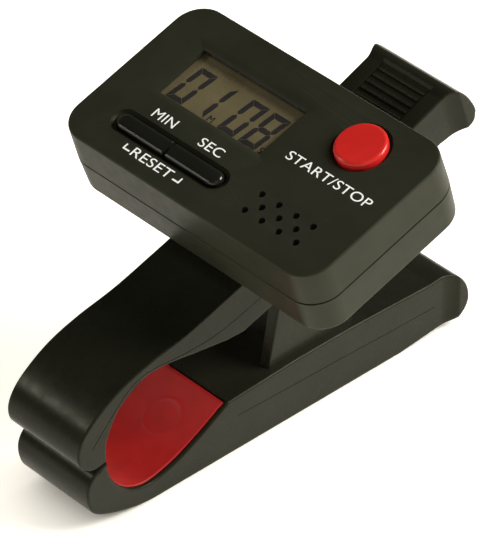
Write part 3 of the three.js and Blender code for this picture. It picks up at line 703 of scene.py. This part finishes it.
def lettering(name, words, centre, height, z, material, slot, stretch=1.0, thick=0.03, weight=0.0):
    """Flat capitals centred on a point of the face."""
    curve = bpy.data.curves.new(name, "FONT")
    curve.body = words
    curve.align_x, curve.align_y = "CENTER", "CENTER"
    curve.size = height / 0.73
    curve.extrude = thick / 2
    curve.offset = weight * height
    curve.space_character = 1.04
    text = bpy.data.objects.new(name, curve)
    SCENE.collection.objects.link(text)
    bpy.context.view_layer.update()
    mesh = bpy.data.meshes.new_from_object(text.evaluated_get(bpy.context.evaluated_depsgraph_get()))
    bpy.data.objects.remove(text)
    xs, ys = [v.co.x for v in mesh.vertices], [v.co.y for v in mesh.vertices]
    middle = ((min(xs) + max(xs)) / 2, (min(ys) + max(ys)) / 2)
    scale = height / (max(ys) - min(ys))
    for v in mesh.vertices:
        x, y, w = (v.co.x - middle[0]) * scale * stretch, (v.co.y - middle[1]) * scale, v.co.z
        v.co = HEAD @ (Vector((centre[0] + x, centre[1] + y, z + w)) * MM)
    obj = bpy.data.objects.new(name, mesh)
    SCENE.collection.objects.link(obj)
    place_piece(obj, "head", material, slot)


def corner_mark(name, corner, side):
    """The L-shaped mark beside the lower label, with its upright away from the word."""
    x, y = corner
    arm, thick, rise = 1.8, 0.36, 1.35
    outline = [(x, y), (x + side * arm, y), (x + side * arm, y + thick), (x + side * thick, y + thick),
               (x + side * thick, y + rise), (x, y + rise)]
    mark = ring_solid(name, [[(a, b, z) for a, b in outline] for z in (-0.01, 0.02)], HEAD)
    place_piece(mark, "head", glowing_ink, "case_plastic")


def labels():
    cap_height = 2.15
    for name, words, centre, stretch in (
        ("label_min", "MIN", (-17.6, -6.1), 1.12),
        ("label_sec", "SEC", (-4.6, -6.1), 1.24),
        ("label_start_stop", "START/STOP", (19.9, 1.3), 1.25),
        ("label_reset", "RESET", (-11.45, -15.4), 1.33),
    ):
        lettering(name, words, centre, cap_height, 0.005, glowing_ink, "case_plastic", stretch)
    corner_mark("label_mark_left", (-19.2, -16.1), 1)
    corner_mark("label_mark_right", (-3.5, -16.1), -1)
    small = 1.5
    lettering("lcd_minutes_mark", "M", (-11.9, 0.0), small, LCD_Z + 0.03, lcd_segment, "lcd_glass")
    lettering("lcd_seconds_mark", "S", (2.0, 0.0), small, LCD_Z + 0.03, lcd_segment, "lcd_glass")


# ---- clip arms ----
LIP = (-56.0, -1.0)
UPPER_JAW = [LIP, (-54.4, 3.4), (-50, 7.8), (-45, 9.7), (-41, 9.8), (-36.4, 8.2), (-30, 5), (-23, 1.6)]
LOWER_JAW = [(-53.1, 15.3), (-52.5, 12), (-50.6, 8.5), (-47.2, 5.6), (-42.7, 4.3), (-36.2, 5.7),
             (-29.8, 8.6), (-22.2, 12.9)]
FLARE, FLARE_LENGTH = 1.4, 4.0
UPPER_GRIP_END, LOWER_GRIP_END = 38.2, 34.6


def flare(obj, place, start, stop):
    """Slices the grip's end across and widens it past start, as far as its tip at stop."""
    work = bmesh.new()
    work.from_mesh(obj.data)
    normal = place.to_3x3() @ Vector((0, 1, 0))
    slices = 22
    for i in range(slices):
        at = place @ (Vector((0, start + (stop - start) * i / slices, 0)) * MM)
        geometry = work.verts[:] + work.edges[:] + work.faces[:]
        bmesh.ops.bisect_plane(work, geom=geometry, plane_co=at, plane_no=normal, dist=1e-7)
    back = place.inverted()
    for v in work.verts:
        local = back @ v.co
        share = min(max((local.y / MM - start) / FLARE_LENGTH, 0), 1)
        local.x *= 1 + FLARE / ARM_HALF * share * share
        v.co = place @ local
    work.to_mesh(obj.data)
    work.free()


def grip_top(y):
    """Height of the upper grip's top over the pin."""
    steps = ((27, ARM_TOP), (31.3, 11.8), (38.8, 12.4), (41, 12.8))
    for (y0, z0), (y1, z1) in zip(steps, steps[1:]):
        if y < y1:
            return z0 + (z1 - z0) * max(y - y0, 0) / (y1 - y0)
    return steps[-1][1]


def upper_arm():
    """The arm under the head: jaw, channel, ears and ribbed finger grip."""
    outline = [(38.8, 12.4), (31.3, 11.8), (27, ARM_TOP), (-22, ARM_TOP)]
    outline += spline([(-22, ARM_TOP), (-31, 11.4), (-41, 12.4), (-49, 12.2), (-56.6, 10), (-60.58, 6.9),
                       (-61.6, 3), (-59.6, -0.2), LIP])[1:]
    outline += spline(UPPER_JAW)[1:]
    outline += [(-19, 0.2), (-EAR_R, 0.2)]
    outline += arc((0, 0), EAR_R, 178.2, 360, 24)
    outline += spline([(35.7, 2.2), (38.8, 1.9), (42.3, 1.9), (44, 2.4), (44.73, 3.6), (45.1, 5.2),
                       (44.1, 9.1), (42.4, 12), (40.9, 12.8), (38.8, 12.4)])[:-1]
    body = side_solid("upper_arm_shell", outline, -ARM_HALF, ARM_HALF, ARM, 0.45, 4)
    inside = ARM_HALF - SKIRT
    roof = ARM_TOP - ROOF
    rib_start, rib_pitch, ribs, rib_length, drop = 27.0, 1.75, 7, 12.3, 0.4
    bar_r, bar_foot = 0.36, 0.5
    rib_end = rib_start + ribs * rib_pitch + 1.1
    clear = ARM_TOP + 3
    dish = [(rib_start - 1.6, clear), (rib_start - 1.6, ARM_TOP + 0.05)]
    dish += [(rib_start + i, grip_top(rib_start + i) - drop) for i in range(0, 12, 2)]
    for back, rise in ((1.9, -0.36), (0.9, -0.18), (0.2, 0.05)):
        dish.append((rib_end - back, grip_top(rib_end - back) + rise))
    dish.append((rib_end - 0.2, clear))
    tools = [
        box("channel", (-inside, -20, -20), (inside, 33.3, roof), ARM),
        box("grip_hollow", (-inside, 31.3, -20), (inside, 41, roof - 1.4), ARM),
        side_solid("thumb_dish", dish, -rib_length / 2 - 0.5, rib_length / 2 + 0.5, ARM),
        rod("swivel_hole", (0, HEAD_SHIFT), SWIVEL_R, roof - 1, ARM_TOP + 1, ARM),
        rod("pin_bore", (0, 0), PIN_R + GAP, -ARM_HALF - 1, ARM_HALF + 1, ARM @ ACROSS, 40),
    ]
    skirt_line = [(-58, 4.6), (-52, 7.9), (-46, 10.6), (-41, 10.6), (-33, 7.6), (-25, 5.3), (-17, 4.7),
                  (-8, 4.6)]
    tools.append(pad_pocket(UPPER_JAW, UPPER_PAD, -1, ARM))
    for side in (-1, 1):
        tools.append(seam(side, spline(skirt_line, 4), ARM))
    boolean(body, tools)
    bars = []
    for i in range(ribs):
        y = rib_start + 0.5 + i * rib_pitch
        z = grip_top(y) - drop
        bar = arc((y, z), bar_r, 0, 180, 8)
        bar += [(y - bar_r, z - bar_foot), (y + bar_r, z - bar_foot)]
        bars.append(side_solid("bar", bar, -rib_length / 2, rib_length / 2, ARM, 0.12, 2))
    boolean(body, bars, "UNION")
    flare(body, ARM, UPPER_GRIP_END, 45)
    smooth(body, 0.1, 2, 38)
    place_piece(body, "upper_arm", arm_black, "arm_plastic", "upper_arm")


def seam(side, line, place):
    """A thin groove cutter along a line on an arm's side face."""
    half, deep = 0.07, 0.1
    face = side * ARM_HALF
    left, right = [], []
    for i, point in enumerate(line):
        normal = normal_at(line, i)
        left.append(tuple(Vector(point) + normal * half))
        right.append(tuple(Vector(point) - normal * half))
    outline = left + right[::-1]
    low, high = sorted((face - side * deep, face + side * 1))
    return side_solid("seam", outline, low, high, place)


def lower_arm():
    """The arm that stands on the surface: jaw, cheeks, pockets underneath and finger grip."""
    outline = [(-42, 0), (24, 0), (34, 0.9)]
    outline += spline([(34, 0.9), (35.5, 1.05), (38, 1.6), (40.3, 3.2), (41.4, 5.75), (40.6, 9.4),
                       (38.2, 12.4), (35.5, 13.1), (32, 12.9)])[1:]
    outline += [(10, LOWER_TOP), (-4, LOWER_TOP)]
    outline += spline(LOWER_JAW)[::-1]
    outline += spline([LOWER_JAW[0], (-56.4, 13.6), (-58, 11), (-57.9, 7.6), (-56.3, 4.4), (-52, 2.2),
                       (-46.5, 0.6), (-42, 0)])[1:-1]
    body = side_solid("lower_arm_shell", outline, -ARM_HALF, ARM_HALF, GROUND, 0.5, 4)
    outer = ARM_HALF - SKIRT - GAP
    cheek = [(-10.4, LOWER_TOP - 1), (12.4, LOWER_TOP - 1)]
    cheek += arc((0, PIVOT_Z), CHEEK_R, 8.6, 187, 28)
    cheeks = []
    for side in (-1, 1):
        low, high = sorted((side * outer, side * (outer - CHEEK)))
        cheeks.append(side_solid("cheek", cheek, low, high, GROUND, 0.3, 3))
    boolean(body, cheeks, "UNION")
    wall, ceiling = 1.8, LOWER_TOP - 3
    half = ARM_HALF - wall
    tools = [
        box("pocket", (-half, front, -1), (half, back, ceiling - lower))
        for front, back, lower in ((-20, -4, 1), (4, 18, 0), (20, 33, 0.6))
    ]
    tools += [
        rod("pin_bore", (0, 0), PIN_R + GAP, -ARM_HALF - 1, ARM_HALF + 1, PIN @ ACROSS, 40),
        pad_pocket(LOWER_JAW, LOWER_PAD, 1, GROUND),
    ]
    for side in (-1, 1):
        tools.append(seam(side, spline([(-20, 8.4), (-8, 8.0), (6, 7.6), (20, 7.1), (33, 6.8)], 3), GROUND))
    boolean(body, tools)
    flare(body, GROUND, LOWER_GRIP_END, 41.3)
    smooth(body, 0.1, 2, 38)
    place_piece(body, "lower_arm", arm_black, "arm_plastic", "lower_arm")


# ---- jaw pads ----
JAW_STEPS, POCKET_STEPS, PAD_STEPS = 16, 60, 90


def pad_pocket(jaw, share, side, place):
    """The cutter for a pad's pocket, with its clearance."""
    path = spline(jaw, JAW_STEPS)
    margin = GAP / sum((Vector(b) - Vector(a)).length for a, b in zip(path, path[1:]))
    line = spaced(path, POCKET_STEPS, share[0] - margin, share[1] + margin)
    near, far = [], []
    for i, point in enumerate(line):
        normal = normal_at(line, i) * side
        near.append(tuple(point + normal * (PAD_PROUD - PAD - GAP)))
        far.append(tuple(point + normal * 1.0))
    half = ARM_HALF - PAD_INSET + GAP
    return side_solid("pad_pocket", near + far[::-1], -half, half, place)


def jaw_pad(name, jaw, share, side, place, body, node, circle=None):
    """A rubber strip in its jaw's pocket. side is 1 where the jaw opens to its curve's left. circle is a
    moulded ring on the strip: its place across and along, and its radius."""
    line = spaced(spline(jaw, JAW_STEPS), PAD_STEPS, *share)
    half, edge, ends = ARM_HALF - PAD_INSET, 0.3, 0.3
    length = sum((b - a).length for a, b in zip(line, line[1:]))
    edge_steps, flat_steps = 5, 48
    columns = [-half + edge * (1 - math.cos(math.pi / 2 * i / edge_steps)) for i in range(edge_steps + 1)]
    columns += [-half + edge + (2 * half - 2 * edge) * i / flat_steps for i in range(1, flat_steps)]
    columns += [-x for x in reversed(columns[:edge_steps + 1])]
    ring_high, ring_wide = 0.13, 0.25

    def height(x, along):
        across = max(abs(x) - (half - edge), 0) / edge
        near = max(ends - min(along, length - along), 0) / ends
        drop = 1 - math.sqrt(max(1 - min(across * across + near * near, 1), 0))
        lift = 0.0
        if circle:
            away = math.hypot(x - circle[0], along - circle[1] * length) - circle[2]
            lift = ring_high * math.exp(-(away / ring_wide) ** 2)
        return PAD - edge * drop + lift

    rings, along = [], 0.0
    for i, point in enumerate(line):
        if i:
            along += (line[i] - line[i - 1]).length
        normal = normal_at(line, i) * side
        ring = []
        for x in columns:
            at = point + normal * (PAD_PROUD - PAD + height(x, along))
            ring.append((x, at.x, at.y))
        foot = point + normal * (PAD_PROUD - PAD)
        ring += [(half, foot.x, foot.y), (-half, foot.x, foot.y)]
        rings.append(ring)
    pad = ring_solid(name, rings, place)
    smooth(pad, 0, 2, 50)
    place_piece(pad, body, pad_red, "red_pad_rubber", node)


# ---- pivot ----
def spring():
    """The torsion spring: the coil round the pin, with a leg on the lower arm and one under the upper arm's
    roof."""
    reach, turns, pitch = 18.0, 6, 2.5 * WIRE_R
    low = (reach, LOWER_TOP + GAP + WIRE_R - PIVOT_Z)
    under = ARM_TOP - ROOF - GAP - WIRE_R
    upper = reach + 4
    high = (upper * math.cos(TILT) - under * math.sin(TILT), upper * math.sin(TILT) + under * math.cos(TILT))
    first = math.atan2(low[1], low[0]) + math.acos(COIL_R / math.hypot(*low))
    last = math.atan2(high[1], high[0]) - math.acos(COIL_R / math.hypot(*high)) + turns * 2 * math.pi
    half = (last - first) / (2 * math.pi) * pitch / 2
    coil_start = Vector((COIL_R * math.cos(first), COIL_R * math.sin(first)))
    coil_end = Vector((COIL_R * math.cos(last), COIL_R * math.sin(last)))
    leg_steps = 7
    path = []
    for i in range(leg_steps):
        path.append((-half, *Vector(low).lerp(coil_start, i / leg_steps)))
    steps = 150
    for i in range(steps + 1):
        angle = first + (last - first) * i / steps
        path.append((-half + 2 * half * i / steps, COIL_R * math.cos(angle), COIL_R * math.sin(angle)))
    for i in range(1, leg_steps + 1):
        path.append((half, *coil_end.lerp(Vector(high), i / leg_steps)))
    curve = bpy.data.curves.new("spring_path", "CURVE")
    curve.dimensions = "3D"
    curve.bevel_depth = WIRE_R * MM
    curve.bevel_resolution = 4
    curve.use_fill_caps = True
    wire = curve.splines.new("POLY")
    wire.points.add(len(path) - 1)
    for point, at in zip(wire.points, path):
        point.co = (*(PIN @ (Vector(at) * MM)), 1)
    tube = bpy.data.objects.new("spring_tube", curve)
    SCENE.collection.objects.link(tube)
    bpy.context.view_layer.update()
    mesh = bpy.data.meshes.new_from_object(tube.evaluated_get(bpy.context.evaluated_depsgraph_get()))
    bpy.data.objects.remove(tube)
    coil = bpy.data.objects.new("torsion_spring_wire", mesh)
    SCENE.collection.objects.link(coil)
    mesh.shade_smooth()
    mesh.materials.clear()
    mesh.materials.append(spring_wire)
    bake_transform(coil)
    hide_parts("torsion_spring")


def screw(name, centre, shank, head, head_high, z_head, z_tip, body, node, place=HEAD):
    """A pan-head screw that points up, with a cross recess in its head and a thread on its shank."""
    profile = [(0, z_head), (head - 0.45, z_head), (head - 0.12, z_head + 0.15), (head, z_head + 0.5),
               (head, z_head + head_high), (shank, z_head + head_high)]
    pitch = 0.45
    turns = int((z_tip - z_head - head_high - 0.8) / pitch)
    for i in range(turns):
        z = z_head + head_high + 0.3 + i * pitch
        profile += [(shank * 0.78, z), (shank, z + pitch / 2)]
    profile += [(shank * 0.7, z_tip - 0.4), (0.15, z_tip), (0, z_tip)]
    obj = lathe(name, centre, profile, place, 36)
    wide, deep = head * 0.62, 0.55
    x, y = centre
    tools = [
        box("cross", (x - wide, y - 0.24, z_head - 1), (x + wide, y + 0.24, z_head + deep), place),
        box("cross", (x - 0.24, y - wide, z_head - 1), (x + 0.24, y + wide, z_head + deep), place),
    ]
    boolean(obj, tools)
    smooth(obj)
    place_piece(obj, body, steel, "steel", node)


def pivot_hardware():
    """The clamp's pin with its head, and the toothed ring pushed on its other end."""
    end = ARM_HALF + GAP + 0.9
    across = PIN @ ACROSS
    outer, chamfer, tail = 2.8, 0.3, 0.5
    pin = lathe("pivot_pin_rod", (0, 0), [
        (0, -end), (1.9, -end), (2.55, -end + 0.15), (outer, -end + 0.4), (outer, -ARM_HALF - GAP),
        (PIN_R, -ARM_HALF - GAP), (PIN_R, end + 0.2), (PIN_R - chamfer, end + tail), (0, end + tail),
    ], across)
    smooth(pin)
    place_piece(pin, "lower_arm", steel, "steel", "pivot_pin")
    low, high = ARM_HALF + GAP, end
    steps, teeth, bore, notch = 72, 6, PIN_R + 0.1, 0.7
    verts, faces = [], []
    profile = ((outer, low), (outer, high - 0.2), (outer - chamfer, high), (bore, high), (bore, low))
    for radius, z in profile:
        for i in range(steps):
            reach = radius + notch if radius == bore and i % (steps // teeth) < 2 else radius
            angle = 2 * math.pi * i / steps
            verts.append((reach * math.cos(angle), reach * math.sin(angle), z))
    for ring in range(len(profile)):
        for i in range(steps):
            a, b = ring * steps, (ring + 1) % len(profile) * steps
            j = (i + 1) % steps
            faces.append((a + i, a + j, b + j, b + i))
    clip = new_object("pin_clip_ring", verts, faces, across)
    smooth(clip)
    place_piece(clip, "lower_arm", steel, "steel", "pin_clip")


# ---- the pieces ----
front_case()
rear_case()
battery_cap()
start_button()
row_button("min_button_cap", -1, "min_button", "min_button")
row_button("sec_button_cap", 1, "sec_button", "sec_button")
lcd_digits()
labels()
upper_arm()
lower_arm()
jaw_pad("upper_jaw_pad_strip", UPPER_JAW, UPPER_PAD, -1, ARM, "upper_arm", "upper_jaw_pad")
jaw_pad("lower_jaw_pad_strip", LOWER_JAW, LOWER_PAD, 1, GROUND, "lower_arm", "lower_jaw_pad",
        (0.4, 0.76, 3.9))
spring()
pivot_hardware()
for number, at in enumerate(case_screw_places(), 1):
    screw(f"case_screw_{number}_body", at, 1.0, 2.1, 1.0, -HEAD_H + 0.4, -4.0, "head", f"case_screw_{number}")

# CAD nodes that keep their shape and only get a material
STEEL_NODES = (
    "start_stop_dome", "min_dome", "sec_dome", "battery_cell", "battery_contact_negative",
    "battery_contact_positive", "board_screw_1", "board_screw_2", "swivel_screw", "swivel_washer",
)
CARRIED = {
    "lcd_panel": lcd_ground,
    "zebra_strip": rubber("zebra_rubber", (0.50, 0.42, 0.40), (0.62, 0.54, 0.50)),
    "circuit_board": plastic("board_green", (0.012, 0.075, 0.028), (0.02, 0.11, 0.045),
                             (0.3, 0.45), 0.6, 0.01),
    "controller_chip": plastic("chip_resin", (0.010, 0.010, 0.010), (0.016, 0.016, 0.016),
                               (0.2, 0.35), 0.6, 0.01),
    "buzzer": brass,
    **{node: steel for node in STEEL_NODES},
}
for node, material in CARRIED.items():
    node_object = frame["nodes"][node]
    node_object.data.materials.clear()
    node_object.data.materials.append(material)


# ---- floor, light, camera ----
def floor():
    """A plain pale floor that glows a little, with a painted contact shadow: the glow dims where the object
    stands close over it.
    """
    size, under = 4000, -0.02
    corners = [(-size, -size, under), (size, -size, under), (size, size, under), (-size, size, under)]
    ground = new_object("floor", corners, [(0, 1, 2, 3)])
    m = Nodes("floor_white")
    patchy = m.mix(m.spread(m.noise(900, 2), 0, 1), (0.80, 0.79, 0.77), (0.83, 0.82, 0.80))
    m.link(patchy, m.shader.inputs["Base Color"])
    m.set(Roughness=0.9, Specular_IOR_Level=0.1)
    m.shader.inputs["Emission Color"].default_value = (1.0, 0.95, 0.85, 1)
    # painted contact shadow: ambient occlusion dims the floor's glow close under the object
    painted_contact_shadow = m.tree.nodes.new("ShaderNodeAmbientOcclusion")
    painted_contact_shadow.samples = 8
    painted_contact_shadow.inputs["Distance"].default_value = 14 * MM
    m.link(m.spread(painted_contact_shadow.outputs["AO"], 0.12, 0.88, 0.15, 0.85), m.shader.inputs["Emission Strength"])
    ground.data.materials.append(m.material)


def softbox(name, direction, distance, size, power, color=(1.0, 0.96, 0.90)):
    """A rectangular soft light that faces the pin from a direction."""
    light = bpy.data.lights.new(name, "AREA")
    light.shape = "RECTANGLE"
    light.size, light.size_y = size
    light.energy = power
    light.color = color
    obj = bpy.data.objects.new(name, light)
    target = PIN @ Vector((0, 0, 0.01))
    obj.location = target + Vector(direction).normalized() * distance
    obj.rotation_euler = (target - obj.location).to_track_quat("-Z", "Y").to_euler()
    SCENE.collection.objects.link(obj)


def surroundings():
    """A studio that is dark overhead and brighter at the horizon."""
    world = bpy.data.worlds.new("studio")
    SCENE.world = world
    world.use_nodes = True
    tree = world.node_tree
    back = tree.nodes["Background"]
    place = tree.nodes.new("ShaderNodeTexCoord")
    split = tree.nodes.new("ShaderNodeSeparateXYZ")
    ramp = tree.nodes.new("ShaderNodeValToRGB")
    tree.links.new(place.outputs["Generated"], split.inputs["Vector"])
    tree.links.new(split.outputs["Z"], ramp.inputs["Fac"])
    tree.links.new(ramp.outputs["Color"], back.inputs["Color"])
    stops = ramp.color_ramp.elements
    stops[0].position, stops[0].color = 0.0, (0.55, 0.51, 0.43, 1)
    stops[1].position, stops[1].color = 0.75, (0.05, 0.05, 0.04, 1)
    middle = stops.new(0.30)
    middle.color = (0.17, 0.16, 0.13, 1)
    back.inputs["Strength"].default_value = 1.0


def camera():
    """The view: over the START/STOP corner, looking down across the face."""
    eye = HEAD @ (Vector(CAMERA_EYE) * MM)
    target = HEAD @ (Vector(CAMERA_TARGET) * MM)
    ahead = (target - eye).normalized()
    level = ahead.cross(HEAD.to_3x3() @ Vector((0, 0, 1))).normalized()
    right = Matrix.Rotation(math.radians(CAMERA_ROLL), 3, ahead) @ level
    up = right.cross(ahead)
    data = bpy.data.cameras.new("camera")
    data.sensor_fit = "VERTICAL"
    data.sensor_height = CAMERA_SENSOR
    data.lens = CAMERA_LENS
    data.clip_end = 50
    obj = bpy.data.objects.new("camera", data)
    obj.matrix_world = Matrix.Translation(eye) @ Matrix((right, up, -ahead)).transposed().to_4x4()
    SCENE.collection.objects.link(obj)
    SCENE.camera = obj


floor()
surroundings()
softbox("key_back_right", (0.58, 0.56, 0.62), 0.9, (0.5, 0.4), 10)
softbox("fill_front_left", (-0.62, -0.62, 0.50), 0.8, (0.16, 0.12), 0.9)
softbox("front_right", (0.75, -0.55, 0.75), 1.2, (0.7, 0.7), 1.0)
camera()
SCENE.view_settings.view_transform = "Standard"
SCENE.view_settings.look = "None"
